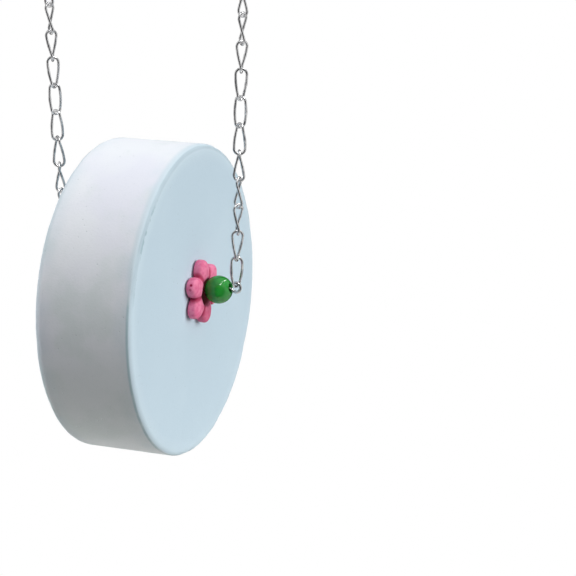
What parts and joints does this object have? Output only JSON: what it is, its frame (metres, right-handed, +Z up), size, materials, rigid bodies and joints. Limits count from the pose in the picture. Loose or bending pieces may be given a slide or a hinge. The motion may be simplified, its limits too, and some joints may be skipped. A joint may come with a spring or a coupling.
{
  "type": "bird beak grinding stone",
  "caption": "Wheel-shaped mineral stone that turns on a wire axle between flower and round beads, hung by twisted-link chains from screw links, for cage birds to grind their beaks on.",
  "frame": {"origin": "centre of the stone wheel", "axes": "+Y along the wheel's axis, with the front flower on the -Y face; +Z up towards the hangers"},
  "size_m": [0.11, 0.0882, 0.1924],
  "materials": {
    "stone": "dry, chalky, cast",
    "flower": "dyed, matte",
    "bead": "dyed, glossy lacquer",
    "wire": "bright plated wire",
    "screw_link": "zinc plated"
  },
  "bodies": {
    "hangers": {"front_hanger": "screw_link", "back_hanger": "screw_link"},
    "link_pair_01": {"front_chain_link_01": "wire", "back_chain_link_01": "wire"},
    "link_pair_02": {"front_chain_link_02": "wire", "back_chain_link_02": "wire"},
    "link_pair_03": {"front_chain_link_03": "wire", "back_chain_link_03": "wire"},
    "link_pair_04": {"front_chain_link_04": "wire", "back_chain_link_04": "wire"},
    "link_pair_05": {"front_chain_link_05": "wire", "back_chain_link_05": "wire"},
    "link_pair_06": {"front_chain_link_06": "wire", "back_chain_link_06": "wire"},
    "link_pair_07": {"front_chain_link_07": "wire", "back_chain_link_07": "wire"},
    "link_pair_08": {"front_chain_link_08": "wire", "back_chain_link_08": "wire"},
    "link_pair_09": {"front_chain_link_09": "wire", "back_chain_link_09": "wire"},
    "link_pair_10": {"front_chain_link_10": "wire", "back_chain_link_10": "wire"},
    "link_pair_11": {"front_chain_link_11": "wire", "back_chain_link_11": "wire"},
    "axle": {"axle_wire": "wire"},
    "stone": {"stone": "stone"},
    "front_flower_bead": {"front_flower_bead": "flower"},
    "front_round_bead": {"front_round_bead": "bead"},
    "front_hanger_nut": {"front_hanger_nut": "screw_link"},
    "back_flower_bead": {"back_flower_bead": "flower"},
    "back_round_bead": {"back_round_bead": "bead"},
    "back_hanger_nut": {"back_hanger_nut": "screw_link"}
  },
  "joints": [
    {"name": "link_01_swing", "type": "hinge", "parent": "hangers", "child": "link_pair_01", "pos_m": [0, 0, 0.10915], "axis": [0, 1, 0], "range_deg": [-40, 40]},
    {"name": "link_02_swing", "type": "hinge", "parent": "link_pair_01", "child": "link_pair_02", "pos_m": [0, 0, 0.10116], "axis": [0, -1, 0], "range_deg": [-40, 40]},
    {"name": "link_03_swing", "type": "hinge", "parent": "link_pair_02", "child": "link_pair_03", "pos_m": [0, 0, 0.09176], "axis": [0, 1, 0], "range_deg": [-40, 40]},
    {"name": "link_04_swing", "type": "hinge", "parent": "link_pair_03", "child": "link_pair_04", "pos_m": [0, 0, 0.08237], "axis": [0, -1, 0], "range_deg": [-40, 40]},
    {"name": "link_05_swing", "type": "hinge", "parent": "link_pair_04", "child": "link_pair_05", "pos_m": [0, 0, 0.07297], "axis": [0, 1, 0], "range_deg": [-40, 40]},
    {"name": "link_06_swing", "type": "hinge", "parent": "link_pair_05", "child": "link_pair_06", "pos_m": [0, 0, 0.06358], "axis": [0, -1, 0], "range_deg": [-40, 40]},
    {"name": "link_07_swing", "type": "hinge", "parent": "link_pair_06", "child": "link_pair_07", "pos_m": [0, 0, 0.05418], "axis": [0, 1, 0], "range_deg": [-40, 40]},
    {"name": "link_08_swing", "type": "hinge", "parent": "link_pair_07", "child": "link_pair_08", "pos_m": [0, 0, 0.04479], "axis": [0, -1, 0], "range_deg": [-40, 40]},
    {"name": "link_09_swing", "type": "hinge", "parent": "link_pair_08", "child": "link_pair_09", "pos_m": [0, 0, 0.0354], "axis": [0, 1, 0], "range_deg": [-40, 40]},
    {"name": "link_10_swing", "type": "hinge", "parent": "link_pair_09", "child": "link_pair_10", "pos_m": [0, 0, 0.026], "axis": [0, -1, 0], "range_deg": [-40, 40]},
    {"name": "link_11_swing", "type": "hinge", "parent": "link_pair_10", "child": "link_pair_11", "pos_m": [0, 0, 0.01661], "axis": [0, 1, 0], "range_deg": [-40, 40]},
    {"name": "axle_swing", "type": "hinge", "parent": "link_pair_11", "child": "axle", "pos_m": [0, 0, 0.00789], "axis": [0, -1, 0], "range_deg": [-40, 40]},
    {"name": "stone_spin", "type": "hinge", "parent": "axle", "child": "stone", "pos_m": [0, 0, 0], "axis": [0, 1, 0], "continuous": true},
    {"name": "front_flower_bead_spin", "type": "hinge", "parent": "axle", "child": "front_flower_bead", "pos_m": [0, -0.0205, 0.00359], "axis": [0, 1, 0], "continuous": true},
    {"name": "front_round_bead_spin", "type": "hinge", "parent": "axle", "child": "front_round_bead", "pos_m": [0, -0.02634, 0.00483], "axis": [0, 0.9781, -0.2079], "continuous": true},
    {"name": "front_hanger_nut_slide", "type": "slide", "parent": "hangers", "child": "front_hanger_nut", "axis": [0, -0.0349, 0.9994], "range_m": [0, 0.007]},
    {"name": "back_flower_bead_spin", "type": "hinge", "parent": "axle", "child": "back_flower_bead", "pos_m": [0, 0.0205, 0.00359], "axis": [0, 1, 0], "continuous": true},
    {"name": "back_round_bead_spin", "type": "hinge", "parent": "axle", "child": "back_round_bead", "pos_m": [0, 0.02634, 0.00483], "axis": [0, 0.9781, 0.2079], "continuous": true},
    {"name": "back_hanger_nut_slide", "type": "slide", "parent": "hangers", "child": "back_hanger_nut", "axis": [0, 0.0349, 0.9994], "range_m": [0, 0.007]}
  ]
}
